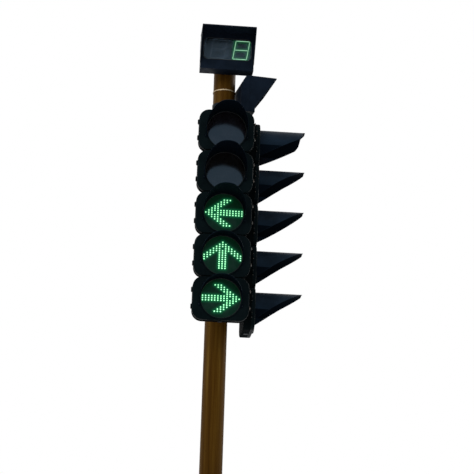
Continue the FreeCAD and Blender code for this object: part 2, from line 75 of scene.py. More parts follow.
WINDOW_H = 0.174
WINDOW_R = 0.036
WINDOW_Z = 0.020
BOARD_FRONT = 0.0165
LEFT_DIGIT_X = -0.067
RIGHT_DIGIT_X = 0.1065
DIGIT_Z = 0.0245
DIGIT_W = 0.106
DIGIT_H = 0.150
DIGIT_BAR = 0.0042
DIGIT_SLANT = 0.15
LED_PITCH_X = 0.0220
LED_PITCH_Z = 0.0162
LED_R = 0.0057
DISC_PITCH = 0.0165
DISC_R = 0.104
DISC_LED_R = 0.0052
SKIN_LIFT = 0.0004
LAMP_SPREAD = 0.014
HALO_SIZE = (0.146, 0.166)
HALO_SPREAD = 0.016
TERMINAL_PITCH = 0.012
HOOD_BEAD_R = 0.0016
SECTIONS = range(1, 6)


# ------------------------------------------------------------ materials

# Specular tint: reflections are painted sky blue, though the world light is white.
SKY_TINT = (0.42, 0.70, 1.0, 1.0)
RUST_TINT = (1.0, 0.62, 0.25, 1.0)


class Net:
    """A material being built: adds nodes and feeds their inputs."""

    def __init__(self, name):
        self.material = bpy.data.materials.new(name)
        self.material.use_nodes = True
        self.tree = self.material.node_tree
        self.tree.nodes.clear()
        self.shader = self.node("ShaderNodeBsdfPrincipled")
        output = self.node("ShaderNodeOutputMaterial")
        self.feed(output.inputs["Surface"], self.shader.outputs["BSDF"])
        self.coords = self.node("ShaderNodeTexCoord").outputs["Object"]

    def feed(self, socket, value):
        if isinstance(value, bpy.types.NodeSocket):
            self.tree.links.new(value, socket)
        else:
            socket.default_value = value

    def node(self, kind, settings=None, inputs=None):
        made = self.tree.nodes.new(kind)
        for key, value in (settings or {}).items():
            setattr(made, key, value)
        for key, value in (inputs or {}).items():
            self.feed(made.inputs[key], value)
        return made

    def noise(self, scale, detail=3.0, rough=0.5, stretch=(1, 1, 1)):
        placed = self.node("ShaderNodeMapping", None, {"Vector": self.coords, "Scale": stretch})
        made = self.node("ShaderNodeTexNoise", None, {
            "Vector": placed.outputs["Vector"], "Scale": scale, "Detail": detail, "Roughness": rough})
        return made.outputs["Fac"]

    def ramp(self, value, *stops):
        made = self.node("ShaderNodeValToRGB", None, {"Fac": value})
        band = made.color_ramp
        while len(band.elements) < len(stops):
            band.elements.new(0.5)
        for element, (place, tone) in zip(band.elements, stops):
            element.position = place
            element.color = (tone,) * 3 + (1,) if isinstance(tone, (int, float)) else tuple(tone) + (1,)
        return made.outputs["Color"]

    def mix(self, amount, a, b, blend="MIX"):
        made = self.node("ShaderNodeMix", {"data_type": "RGBA", "blend_type": blend})
        for index, value in ((0, amount), (6, a), (7, b)):
            flat = isinstance(value, tuple) and len(value) == 3
            self.feed(made.inputs[index], value + (1,) if flat else value)
        return made.outputs[2]

    def maths(self, operation, a, b):
        made = self.node("ShaderNodeMath", {"operation": operation, "use_clamp": True})
        self.feed(made.inputs[0], a)
        self.feed(made.inputs[1], b)
        return made.outputs[0]

    def facing_up(self, low, high):
        normal = self.node("ShaderNodeNewGeometry").outputs["Normal"]
        z = self.node("ShaderNodeSeparateXYZ", None, {"Vector": normal}).outputs["Z"]
        return self.ramp(z, (low, 0.0), (high, 1.0))

    def edges(self, radius, low, high):
        """White on sharp edges: how far a rounded normal leaves the true one."""
        soft = self.node("ShaderNodeBevel", {"samples": 4}, {"Radius": radius}).outputs["Normal"]
        true = self.node("ShaderNodeNewGeometry").outputs["Normal"]
        dot = self.node("ShaderNodeVectorMath", {"operation": "DOT_PRODUCT"})
        self.feed(dot.inputs[0], soft)
        self.feed(dot.inputs[1], true)
        return self.ramp(dot.outputs["Value"], (low, 1.0), (high, 0.0))

    def bumps(self, *layers):
        """Stacks bump layers, each (height, strength, distance)."""
        below = None
        for height, strength, distance in layers:
            made = self.node("ShaderNodeBump", None, {
                "Height": height, "Strength": strength, "Distance": distance})
            if below is not None:
                self.feed(made.inputs["Normal"], below)
            below = made.outputs["Normal"]
        self.feed(self.shader.inputs["Normal"], below)

    def done(self, **constants):
        names = {"metal": "Metallic", "specular": "Specular IOR Level", "alpha": "Alpha",
                 "rough": "Roughness", "emission": "Emission Strength", "tint": "Specular Tint"}
        for key, value in constants.items():
            self.shader.inputs[names[key]].default_value = value
        return self.material


def black_plastic(name, tone, dust, rough, specular, grime=0.3, painted_underside_shade=False):
    """Black moulding or powder coat: uneven tone, rain streaks, dust on ledges, pale edges.

    With painted_underside_shade, faces that look down get painted shade: their colour drops to 0.4 of the
    tone, as if little light came from below, and their specular falls almost to nothing for a matt inside,
    as inside a visor.
    """
    net = Net(name)
    blotch = net.noise(7.0, 5.0, 0.6)
    streak = net.noise(38.0, 4.0, 0.62, (1, 1, 0.055))
    speck = net.noise(260.0, 3.0, 0.7)
    deep = tuple(c * 0.55 for c in tone)
    pale = tuple(c * 1.7 for c in tone)
    colour = net.mix(net.ramp(blotch, (0.3, 0.0), (0.72, 1.0)), deep, pale)
    washed = net.maths("MULTIPLY", net.ramp(streak, (0.48, 0.0), (0.78, 1.0)), grime)
    colour = net.mix(washed, colour, dust)
    ledge = net.maths("MULTIPLY", net.facing_up(0.55, 0.98), net.ramp(blotch, (0.25, 0.25), (0.7, 0.75)))
    colour = net.mix(ledge, colour, tuple(c * 2.2 for c in dust))
    worn = net.maths("MULTIPLY", net.edges(0.0016, 0.90, 0.998), net.ramp(speck, (0.35, 0.15), (0.65, 0.8)))
    colour = net.mix(worn, colour, tuple(c * 2.6 for c in dust))
    net.feed(net.shader.inputs["Base Color"], colour)
    net.feed(net.shader.inputs["Roughness"], net.ramp(streak, (0.3, rough - 0.09), (0.75, rough + 0.16)))
    net.bumps((blotch, 0.25, 0.0012), (net.noise(900.0, 2.0), 0.22, 0.00022))
    if painted_underside_shade:
        # Painted shade: faces that look down are darkened and lose most of their sheen.
        side = net.facing_up(-0.6, -0.05)
        net.feed(net.shader.inputs["Base Color"], net.mix(side, tuple(c * 0.4 for c in tone), colour))
        net.feed(net.shader.inputs["Specular IOR Level"], net.ramp(side, (0.0, 0.008), (1.0, specular)))
        return net.done(tint=SKY_TINT)
    return net.done(specular=specular, tint=SKY_TINT)


def brown_paint(name):
    """Weathered brown pole paint with vertical runs, dark stains and chips."""
    net = Net(name)
    runs = net.noise(26.0, 5.0, 0.62, (1, 1, 0.035))
    cloud = net.noise(3.2, 4.0, 0.55, (1, 1, 0.5))
    chips = net.noise(120.0, 5.0, 0.68, (1, 1, 0.55))
    colour = net.ramp(runs, (0.22, (0.013, 0.005, 0.0006)), (0.42, (0.037, 0.015, 0.0013)),
                      (0.58, (0.057, 0.027, 0.0032)), (0.8, (0.104, 0.059, 0.011)))
    colour = net.mix(net.ramp(cloud, (0.38, 0.0), (0.74, 0.55)), colour, (0.030, 0.013, 0.002))
    chipped = net.ramp(chips, (0.655, 0.0), (0.69, 1.0))
    colour = net.mix(chipped, colour, (0.012, 0.005, 0.002))
    worn = net.maths("MULTIPLY", net.edges(0.003, 0.90, 0.998), net.ramp(chips, (0.35, 0.1), (0.6, 0.9)))
    colour = net.mix(worn, colour, (0.16, 0.10, 0.04))
    net.feed(net.shader.inputs["Base Color"], colour)
    net.feed(net.shader.inputs["Roughness"], net.ramp(runs, (0.25, 0.62), (0.8, 0.38)))
    net.bumps((runs, 0.35, 0.0012), (chips, 0.3, 0.0006))
    return net.done(specular=0.05, tint=RUST_TINT)


def dull_steel(name, tone, rough, rust=0.35):
    net = Net(name)
    cell = net.node("ShaderNodeTexVoronoi", None, {"Vector": net.coords, "Scale": 190.0}).outputs["Distance"]
    cloud = net.noise(55.0, 5.0, 0.65)
    dark = tuple(c * 0.55 for c in tone)
    colour = net.mix(net.ramp(cell, (0.1, 0.0), (0.6, 1.0)), dark, tone)
    stain = net.maths("MULTIPLY", net.ramp(cloud, (0.5, 0.0), (0.68, 1.0)), rust)
    colour = net.mix(stain, colour, (0.14, 0.055, 0.02))
    net.feed(net.shader.inputs["Base Color"], colour)
    net.feed(net.shader.inputs["Roughness"], net.ramp(cloud, (0.3, rough), (0.7, rough + 0.25)))
    net.bumps((cell, 0.2, 0.0002), (cloud, 0.3, 0.0003))
    return net.done(metal=0.85)


def black_rubber(name):
    net = Net(name)
    cloud = net.noise(140.0, 4.0, 0.6)
    net.feed(net.shader.inputs["Base Color"],
             net.ramp(cloud, (0.3, (0.006, 0.006, 0.007)), (0.7, (0.02, 0.02, 0.021))))
    net.feed(net.shader.inputs["Roughness"], net.ramp(cloud, (0.3, 0.6), (0.7, 0.85)))
    net.bumps((net.noise(700.0, 2.0), 0.3, 0.0002))
    return net.done(specular=0.2)


def lens_cover(name, deep, pale, glow, rough):
    """Smoked glossy cover with moulded prisms behind it; glow lights it where the lamps shine."""
    net = Net(name)
    cell = net.node("ShaderNodeTexVoronoi", {"feature": "SMOOTH_F1"}, {
        "Vector": net.coords, "Scale": 105.0, "Smoothness": 0.3, "Randomness": 0.12}).outputs["Distance"]
    film = net.noise(16.0, 5.0, 0.62)
    spots = net.noise(210.0, 4.0, 0.7)
    colour = net.mix(net.ramp(cell, (0.15, 0.0), (0.6, 1.0)), deep, pale)
    colour = net.mix(net.ramp(film, (0.45, 0.0), (0.85, 0.30)), colour, (0.022, 0.025, 0.030))
    net.feed(net.shader.inputs["Base Color"], colour)
    dusty = net.mix(0.5, net.ramp(film, (0.3, rough), (0.75, rough + 0.16)),
                    net.ramp(spots, (0.4, rough), (0.7, rough + 0.2)))
    net.feed(net.shader.inputs["Roughness"], dusty)
    net.bumps((cell, 0.12, 0.0005), (film, 0.15, 0.0008))
    if glow is not None:
        light = net.node("ShaderNodeAttribute", {"attribute_name": "glow"}).outputs["Fac"]
        unlit = tuple(c * 0.075 for c in glow)
        fringe = tuple(c * 0.4 for c in glow)
        lit = net.ramp(light, (0.0, unlit), (0.35, fringe), (1.0, glow))
        ribbed = net.mix(net.ramp(cell, (0.1, 0.75), (0.6, 1.0)), (0, 0, 0), lit)
        net.feed(net.shader.inputs["Emission Color"], ribbed)
        return net.done(specular=0.06, emission=1.0, tint=SKY_TINT)
    return net.done(specular=0.5, tint=SKY_TINT)


def lamp_tip(name, core, skirt, strength):
    """A lit lamp tip: pale in the middle, deeper in colour round its skirt."""
    net = Net(name)
    ring = net.node("ShaderNodeAttribute", {"attribute_name": "glow"}).outputs["Fac"]
    flick = net.noise(90.0, 2.0)
    lit = net.ramp(ring, (0.0, skirt), (0.75, core))
    lit = net.mix(net.ramp(flick, (0.3, 0.0), (0.7, 0.22)), lit, skirt)
    net.feed(net.shader.inputs["Base Color"], net.mix(net.ramp(flick, (0.3, 0.0), (0.7, 1.0)), skirt, core))
    net.feed(net.shader.inputs["Emission Color"], lit)
    return net.done(emission=strength, rough=0.25)


def dark_tip(name, tone):
    net = Net(name)
    flick = net.noise(150.0, 3.0)
    deep = tuple(c * 0.6 for c in tone)
    net.feed(net.shader.inputs["Base Color"], net.ramp(flick, (0.3, deep), (0.7, tone)))
    net.feed(net.shader.inputs["Roughness"], net.ramp(flick, (0.3, 0.18), (0.7, 0.35)))
    return net.done(specular=0.4)


def smoked_window(name):
    net = Net(name)
    film = net.noise(14.0, 5.0, 0.6)
    streak = net.noise(60.0, 3.0, 0.6, (1, 1, 0.07))
    net.feed(net.shader.inputs["Base Color"],
             net.ramp(film, (0.3, (0.010, 0.018, 0.028)), (0.75, (0.028, 0.046, 0.066))))
    net.feed(net.shader.inputs["Roughness"], net.ramp(streak, (0.35, 0.10), (0.8, 0.30)))
    net.bumps((film, 0.1, 0.001))
    # The specular tint paints the window's reflections pale sky blue.
    return net.done(specular=0.32, alpha=0.42, tint=(0.55, 0.80, 1.0, 1.0))


def board(name, glow=None):
    net = Net(name)
    weave = net.node("ShaderNodeTexBrick", {"offset": 0.5}, {
        "Vector": net.coords, "Scale": 240.0, "Color1": (0.020, 0.030, 0.036, 1),
        "Color2": (0.030, 0.042, 0.050, 1), "Mortar": (0.012, 0.018, 0.022, 1)}).outputs["Color"]
    cloud = net.noise(22.0, 4.0)
    net.feed(net.shader.inputs["Base Color"],
             net.mix(net.ramp(cloud, (0.3, 0.0), (0.7, 0.4)), weave, (0.05, 0.062, 0.072)))
    net.feed(net.shader.inputs["Roughness"], net.ramp(cloud, (0.3, 0.5), (0.7, 0.75)))
    net.bumps((net.noise(500.0, 2.0), 0.2, 0.0002))
    # With glow, the board gives off painted glow: light spread from a lit digit, not a lamp of its own.
    if glow is not None:
        light = net.node("ShaderNodeAttribute", {"attribute_name": "glow"}).outputs["Fac"]
        tones = ((0.03, (0, 0, 0)), (0.5, tuple(c * 0.6 for c in glow)), (1.0, glow))
        net.feed(net.shader.inputs["Emission Color"], net.ramp(light, *tones))
        return net.done(specular=0.2, emission=1.0)
    return net.done(specular=0.2)


def pale_floor(name):
    net = Net(name)
    cloud = net.noise(0.8, 4.0, 0.6)
    net.feed(net.shader.inputs["Base Color"], net.ramp(cloud, (0.3, 0.78), (0.7, 0.84)))
    net.feed(net.shader.inputs["Roughness"], net.ramp(cloud, (0.3, 0.8), (0.7, 0.9)))
    return net.done(specular=0.1)


DUST = (0.0070, 0.0105, 0.0150)
FINE_DUST = (0.0040, 0.0062, 0.0080)
MATERIALS = {
    "pole_paint": brown_paint("pole_brown_paint"),
    "bare_steel": dull_steel("ring_bare_steel", (0.44, 0.36, 0.24), 0.45, 0.45),
    "bracket_paint": black_plastic("bracket_black_coat", (0.004, 0.0045, 0.0055), DUST, 0.45, 0.10, 0.4),
    "fastener_steel": dull_steel("fastener_zinc", (0.095, 0.093, 0.088), 0.45),
    "coupler_plastic": black_plastic("coupler_plastic", (0.004, 0.0045, 0.005), DUST, 0.5, 0.10),
    "housing_plastic": black_plastic("housing_plastic", (0.0012, 0.0020, 0.0022), FINE_DUST, 0.66, 0.004,
                                     0.16),
    "door_plastic": black_plastic("door_plastic", (0.0012, 0.0026, 0.0027), FINE_DUST, 0.46, 0.03, 0.20),
    # The last True paints shade on the visor's faces that look down.
    "visor_plastic": black_plastic("visor_plastic", (0.0030, 0.0066, 0.0120), DUST, 0.46, 0.06, 0.24, True),
    "timer_paint": black_plastic("timer_black_coat", (0.0026, 0.0044, 0.0082), DUST, 0.44, 0.04, 0.22),
    "timer_window": smoked_window("timer_smoked_window"),
    "circuit_board": board("circuit_board"),
    "lens_red": lens_cover("lens_red", (0.0018, 0.0016, 0.0024), (0.0045, 0.0032, 0.0042), None, 0.10),
    "lens_yellow": lens_cover("lens_yellow", (0.0020, 0.0019, 0.0022), (0.0048, 0.0042, 0.0038), None, 0.10),
    "lens_green": lens_cover("lens_green", (0.003, 0.006, 0.006), (0.006, 0.011, 0.011), None, 0.16),
}
LIT_GREEN = lens_cover("lens_green_lit", (0.001, 0.005, 0.003), (0.003, 0.010, 0.006),
                       (0.001, 0.11, 0.034), 0.20)
LIT_RED = lens_cover("lens_red_lit", (0.010, 0.003, 0.003), (0.018, 0.005, 0.005),
                     (0.22, 0.006, 0.006), 0.16)
TIP_GREEN = lamp_tip("lamp_tip_green", (0.45, 1.0, 0.58), (0.03, 0.62, 0.20), 1.05)
TIP_RED = lamp_tip("lamp_tip_red", (1.0, 0.16, 0.10), (0.60, 0.02, 0.015), 0.8)
TIP_DARK = dark_tip("lamp_tip_dark", (0.020, 0.028, 0.026))
BAR_GREEN = lamp_tip("digit_green", (0.58, 1.0, 0.68), (0.10, 0.80, 0.32), 1.9)
BAR_RED = lamp_tip("digit_red", (1.0, 0.30, 0.22), (0.80, 0.04, 0.03), 2.4)
BAR_DARK = dark_tip("digit_unlit", (0.20, 0.24, 0.28))
# Painted glow for the board round a lit digit.
HALO_GREEN = board("board_green_glow", (0.001, 0.20, 0.035))
HALO_RED = board("board_red_glow", (0.20, 0.004, 0.003))
RUBBER = black_rubber("black_rubber")

for entry in frame["record"]["subparts"]:
    finish = MATERIALS[entry["material_slot"]]
    owner = NODES[entry["node"]]
    if not owner.material_slots:
        owner.data.materials.append(finish)
    for holder in owner.material_slots:
        holder.material = finish


# --------------------------------------------------------------- shapes

class Shape:
    """Vertices and faces gathered in a local frame before they become a piece."""

    def __init__(self):
        self.points = []
        self.faces = []
        self.glow = []

    def add(self, points, faces, glow=None):
        start = len(self.points)
        self.points.extend(points)
        self.faces.extend(tuple(start + i for i in face) for face in faces)
        self.glow.extend(glow or [0.0] * len(points))

    def revolve(self, profile, segments=24, centre=(0, 0, 0), glow=None):
        """Turns (radius, y) pairs about a line along Y through the centre."""
        cx, cy, cz = centre
        points = []
        for radius, y in profile:
            for k in range(segments):
                angle = 2 * math.pi * k / segments
                points.append((cx + radius * math.cos(angle), cy + y, cz + radius * math.sin(angle)))
        faces = []
        for ring in range(len(profile) - 1):
            for k in range(segments):
                a = ring * segments + k
                b = ring * segments + (k + 1) % segments
                faces.append((a, a + segments, b + segments, b))
        faces.append(tuple(range(segments)))
        faces.append(tuple(range(len(points) - 1, len(points) - 1 - segments, -1)))
        self.add(points, faces, [level for level in glow for _ in range(segments)] if glow else None)

    def slab(self, outline, y0, y1):
        """A plate between y0 and y1 from a closed (x, z) outline."""
        count = len(outline)
        points = [(x, y, z) for y in (y0, y1) for x, z in outline]
        faces = [tuple(range(count)), tuple(range(2 * count - 1, count - 1, -1))]
        faces += [(k, k + count, (k + 1) % count + count, (k + 1) % count) for k in range(count)]
        self.add(points, faces)

    def tube(self, path, radius, closed=False, sides=8):
        """A round bead along a path of points."""
        count = len(path)
        rings = []
        for k, point in enumerate(path):
            ahead = path[(k + 1) % count] if closed or k + 1 < count else point
            behind = path[k - 1] if closed or k else point
            along = (Vector(ahead) - Vector(behind)).normalized()
            side = along.orthogonal() if k == 0 else (side - along * side.dot(along)).normalized()
            side = side.normalized()
            up = along.cross(side)
            for j in range(sides):
                angle = 2 * math.pi * j / sides
                rings.append(tuple(Vector(point) + (side * math.cos(angle) + up * math.sin(angle)) * radius))
        faces = []
        for k in range(count if closed else count - 1):
            for j in range(sides):
                a = k * sides + j
                b = k * sides + (j + 1) % sides
                c = (k + 1) % count * sides
                faces.append((a, b, c + (j + 1) % sides, c + j))
        if not closed:
            faces.append(tuple(range(sides)))
            faces.append(tuple(range(len(rings) - 1, len(rings) - 1 - sides, -1)))
        self.add(rings, faces)

    def piece(self, name, place, material, body, bevel=0.0, smooth=True):
        """Makes the mesh object at its place and lets it ride on a body."""
        mesh = bpy.data.meshes.new(name)
        mesh.from_pydata([tuple(place @ Vector(p)) for p in self.points], [], self.faces)
        mesh.validate()
        if any(self.glow):
            layer = mesh.attributes.new("glow", "FLOAT", "POINT")
            layer.data.foreach_set("value", self.glow)
        mesh.materials.append(material)
        made = bpy.data.objects.new(name, mesh)
        bpy.context.scene.collection.objects.link(made)
        if smooth:
            mesh.shade_smooth()
            mesh.set_sharp_from_angle(angle=math.radians(40))
        if bevel:
            edge = made.modifiers.new("bevel", "BEVEL")
            edge.width = bevel
            edge.segments = 2
            edge.limit_method = "ANGLE"
        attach(made, body)
        return made


def rounded_outline(width, height, radius, steps=8):
    corners = ((1, 1, 0), (-1, 1, 90), (-1, -1, 180), (1, -1, 270))
    outline = []
    for sx, sz, start in corners:
        for k in range(steps + 1):
            angle = math.radians(start + 90 * k / steps)
            outline.append((sx * (width / 2 - radius) + radius * math.cos(angle),
                            sz * (height / 2 - radius) + radius * math.sin(angle)))
    return outline


def socket_screw(shape, centre, radius, height):
    """A button-head screw with a round socket, standing out along -Y."""
    profile = [(radius, 0.0), (radius, 0.35 * height), (0.85 * radius, 0.75 * height),
               (0.6 * radius, height), (0.38 * radius, height), (0.34 * radius, 0.45 * height),
               (0.002 * radius, 0.45 * height)]
    shape.revolve([(r, -y) for r, y in profile], 20, centre)


def side_screw(shape, centre, sign, radius, height):
    """The same screw standing out along +X (sign 1) or -X (sign -1)."""
    cx, cy, cz = centre
    screw = Shape()
    socket_screw(screw, (0, 0, 0), radius, height)
    shape.add([(cx - sign * y, cy + sign * x, cz + z) for x, y, z in screw.points], screw.faces)


def section_place(head, number):
    low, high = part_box(f"{head}_housing_{number}")
    z = (low.z + high.z) / 2
    if head == "front":
        return Matrix.Translation((0, high.y - HOUSING_DEPTH, z))
    plane = low.x + HOUSING_DEPTH
    return Matrix.Rotation(math.radians(90), 4, "Z") @ Matrix.Translation((0, -plane, z))


def timer_place(head):
    low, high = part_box(f"{head}_timer_case")
    turn = Matrix.Rotation(math.radians(TIMER_TURN[head]), 4, "Z")
    return turn @ Matrix.Translation((0, -TIMER_FACE_PLANE, (low.z + high.z) / 2))


# ---------------------------------------------------------------- lamps

def arrow_cells():
    """Grid cells of an upward arrow on a 13 by 13 board, as (column, row) from its middle."""
    cells = set()
    for across in range(7):
        for row in range(across, across + 3):
            cells.add((across, 6 - row))
            cells.add((-across, 6 - row))
    for across in (-1, 0, 1):
        for row in range(4, 13):
            cells.add((across, 6 - row))
    return cells


def turned_cells(direction):
    turn = {"up": lambda c: c, "left": lambda c: (-c[1], c[0]), "right": lambda c: (c[1], c[0])}[direction]
    return [turn(cell) for cell in sorted(arrow_cells())]


def arrow_lamps(direction):
    return [(column * LED_PITCH_X, row * LED_PITCH_Z) for column, row in turned_cells(direction)]


def disc_lamps():
    """Hexagonal grid of lamps that fills the round board."""
    lamps = []
    for row in range(-9, 10):
        for column in range(-9, 10):
            x = (column + 0.5 * (row % 2)) * DISC_PITCH
            z = row * DISC_PITCH * 0.866
            if math.hypot(x, z) < DISC_R:
                lamps.append((x, z))
    return lamps


def lens_slot(number):
    return {1: "lens_red", 2: "lens_yellow"}.get(number, "lens_green")


def lens_y(kind, radius):
    return LENS_EDGE_Y - LENS_RISE[kind] * (1 - (radius / LENS_R) ** 2)


def near_lamps(x, z, lamps):
    """How strongly the lamps round a point light it, from 0 to 1."""
    total = sum(math.exp(-((x - a) ** 2 + (z - b) ** 2) / LAMP_SPREAD ** 2) for a, b in lamps)
    return min(1.0, total)


def make_cover(head, number, place, kind, lamps, material):
    """The smooth outer skin of the lens, lit per vertex where lamps are near."""
    shape = Shape()
    rings, segments = 46, 120
    points, glow = [(0.0, lens_y(kind, 0) - SKIN_LIFT, 0.0)], [near_lamps(0, 0, lamps)]
    for ring in range(1, rings + 1):
        radius = (LENS_R - 0.0008) * ring / rings
        for k in range(segments):
            angle = 2 * math.pi * k / segments
            x, z = radius * math.cos(angle), radius * math.sin(angle)
            points.append((x, lens_y(kind, radius) - SKIN_LIFT, z))
            glow.append(near_lamps(x, z, lamps))
    faces = [(0, 1 + k, 1 + (k + 1) % segments) for k in range(segments)]
    for ring in range(rings - 1):
        for k in range(segments):
            a = 1 + ring * segments + k
            b = 1 + ring * segments + (k + 1) % segments
            faces.append((a, a + segments, b + segments, b))
    shape.add(points, faces, glow)
    shape.piece(f"{head}_lens_skin_{number}", place, material, f"{head}_leaf_{number}")


def make_tips(head, number, place, kind, lamps, material, radius):
    shape = Shape()
    profile = [(radius, 0.0), (radius * 0.96, -0.0016), (radius * 0.78, -0.0034), (radius * 0.45, -0.0046),
               (radius * 0.05, -0.0050)]
    for x, z in lamps:
        y = lens_y(kind, math.hypot(x, z)) + 0.0006
        shape.revolve(profile, 10, (x, y, z), (0.0, 0.35, 0.7, 0.95, 1.0))
    shape.piece(f"{head}_lamp_tips_{number}", place, material, f"{head}_leaf_{number}")


LENS_ASPECTS = {
    ("front", 3): ("left", LIT_GREEN, TIP_GREEN), ("front", 4): ("up", LIT_GREEN, TIP_GREEN),
    ("front", 5): ("right", LIT_GREEN, TIP_GREEN), ("side", 1): ("disc", LIT_RED, TIP_RED),
    ("side", 3): ("left", None, TIP_DARK), ("side", 4): ("up", None, TIP_DARK),
    ("side", 5): ("right", None, TIP_DARK),
}


def make_lens(head, number, place):
    kind = "domed" if number in (1, 2) else "flat"
    slot = lens_slot(number)
    glyph, lit, tips = LENS_ASPECTS.get((head, number), (None, None, None))
    lamps = disc_lamps() if glyph == "disc" else arrow_lamps(glyph) if glyph else []
    make_cover(head, number, place, kind, lamps if lit else [], lit or MATERIALS[slot])
    if lamps:
        radius = DISC_LED_R if glyph == "disc" else LED_R
        make_tips(head, number, place, kind, lamps, tips, radius)


# -------------------------------------------------------- section trim

def visor_cut(head, number):
    """(z, y) points down the visor's cut edge, from the crown to the base."""
    tip = DOOR_FACE - VISOR_LENGTHS[head][number - 1]
    if (head, number) == ("side", 1):
        return [(VISOR_R, tip), (0.151, tip), (0.138, tip + 0.022), (0.092, tip + 0.032),
                (0.062, tip + 0.054), (-0.090, DOOR_FACE)]
    if (head, number) == ("side", 3):
        return [(VISOR_R, tip), (VISOR_TIP_Z, tip), (-0.008, DOOR_FACE - 0.103), (-0.066, DOOR_FACE)]
    length = DOOR_FACE - tip
    return [(VISOR_R, tip), (VISOR_TIP_Z, tip), (0.070, DOOR_FACE - 0.6 * length),
            (0.024, DOOR_FACE - 0.4 * length), (VISOR_BASE_Z, DOOR_FACE)]


def cut_y(cut, z):
    for (z0, y0), (z1, y1) in zip(cut, cut[1:]):
        if z0 >= z >= z1:
            return y0 + (y1 - y0) * (z0 - z) / max(z0 - z1, 1e-9)
    return DOOR_FACE


def make_visor_bead(head, number, place):
    """Rolled edge along the visor's slanted cut."""
    cut = visor_cut(head, number)
    middle_r = VISOR_R - VISOR_WALL / 2
    lowest = math.acos(max(-1.0, (cut[-1][0] + 0.0015) / middle_r))
    path = []
    for k in range(BEAD_STEPS + 1):
        angle = lowest * (2 * k / BEAD_STEPS - 1)
        z = middle_r * math.cos(angle)
        path.append((middle_r * math.sin(angle), cut_y(cut, z), z))
    shape = Shape()
    shape.tube(path, VISOR_BEAD_R)
    shape.piece(f"{head}_visor_bead_{number}", place, MATERIALS["visor_plastic"], f"{head}_leaf_{number}")


def make_screws(head, number, place):
    """Visor screws and the door's latch wing screws."""
    body = f"{head}_leaf_{number}"
    shape = Shape()
    for angle in (50, 108):
        for side in (-1, 1):
            turn = math.radians(angle)
            radius = VISOR_R + 0.0075
            centre = (side * radius * math.sin(turn), DOOR_FACE - VISOR_WALL, radius * math.cos(turn))
            socket_screw(shape, centre, 0.0048, 0.0032)
    shape.piece(f"{head}_visor_screws_{number}", place, MATERIALS["bracket_paint"], body)
    wings = Shape()
    base = LATCH_FACE
    for z in (-LATCH_Z, LATCH_Z):
        wings.revolve([(0.0062, base), (0.0062, base - 0.002), (0.0042, base - 0.003),
                       (0.0040, base - 0.010), (0.0030, base - 0.012)], 20, (LATCH_X, 0, z))
        wings.revolve([(0.0028, base + 0.001), (0.0028, base + 0.0175)], 14, (LATCH_X, 0, z))
        for side in (-1, 1):
            fin = [(LATCH_X - 0.0013, z + side * 0.003), (LATCH_X + 0.0013, z + side * 0.003),
                   (LATCH_X + 0.0011, z + side * 0.0125), (LATCH_X - 0.0011, z + side * 0.0125)]
            wings.slab(fin if side > 0 else fin[::-1], base - 0.0125, base - 0.0035)
    wings.piece(f"{head}_latch_screws_{number}", place, MATERIALS["fastener_steel"], body,
                bevel=0.0004)


def make_seals(head, number, place):
    """Rubber seals: one round the lens, one between housing and door."""
    ring = Shape()
    path = []
    for degrees in range(0, 360, 3):
        angle = math.radians(degrees)
        path.append((SEAL_PATH_R * math.cos(angle), RING_FRONT + 0.0042, SEAL_PATH_R * math.sin(angle)))
    ring.tube(path, 0.0022, True, 8)
    ring.piece(f"{head}_lens_seal_{number}", place, RUBBER, f"{head}_leaf_{number}")
    strip = Shape()
    outline = rounded_outline(SECTION_W - 0.007, SECTION_H - 0.007, CORNER_R - 0.0035, 10)
    strip.tube([(x, -0.0007, z) for x, z in outline], 0.0009, True, 6)
    strip.piece(f"{head}_door_seal_{number}", place, RUBBER, ROOT)


def make_inside(head, number, place):
    """What shows when the door stands open: fins on the lamp module and a terminal block."""
    fins = Shape()
    for k in range(-4, 5):
        x = k * 0.020
        half = math.sqrt(0.105 ** 2 - x * x) - 0.006
        fins.slab([(x - 0.0011, -half), (x + 0.0011, -half), (x + 0.0011, half), (x - 0.0011, half)],
                  MODULE_BACK - 0.0005, MODULE_BACK + 0.0045)
    fins.piece(f"{head}_module_fins_{number}", place, MATERIALS["coupler_plastic"], f"{head}_leaf_{number}",
               bevel=0.0004)
    block = Shape()
    back = HOUSING_DEPTH - 0.0035
    block.slab(rounded_outline(0.086, 0.022, 0.003, 4), back - 0.016, back)
    for k in range(-3, 4):
        left, right = k * TERMINAL_PITCH + 0.0055, k * TERMINAL_PITCH + 0.0065
        block.slab([(left, -0.0125), (right, -0.0125), (right, 0.0125), (left, 0.0125)],
                   back - 0.019, back - 0.015)
    shift = Matrix.Translation((0.09, 0, -0.105))
    block.piece(f"{head}_terminal_block_{number}", place @ shift, MATERIALS["circuit_board"], ROOT,
                bevel=0.0006)
    heads = Shape()
    for k in range(-3, 4):
        socket_screw(heads, (k * TERMINAL_PITCH, back - 0.016, 0.0), 0.0026, 0.0014)
    heads.piece(f"{head}_terminal_screws_{number}", place @ shift, MATERIALS["fastener_steel"], ROOT)


# --------------------------------------------------------------- timer

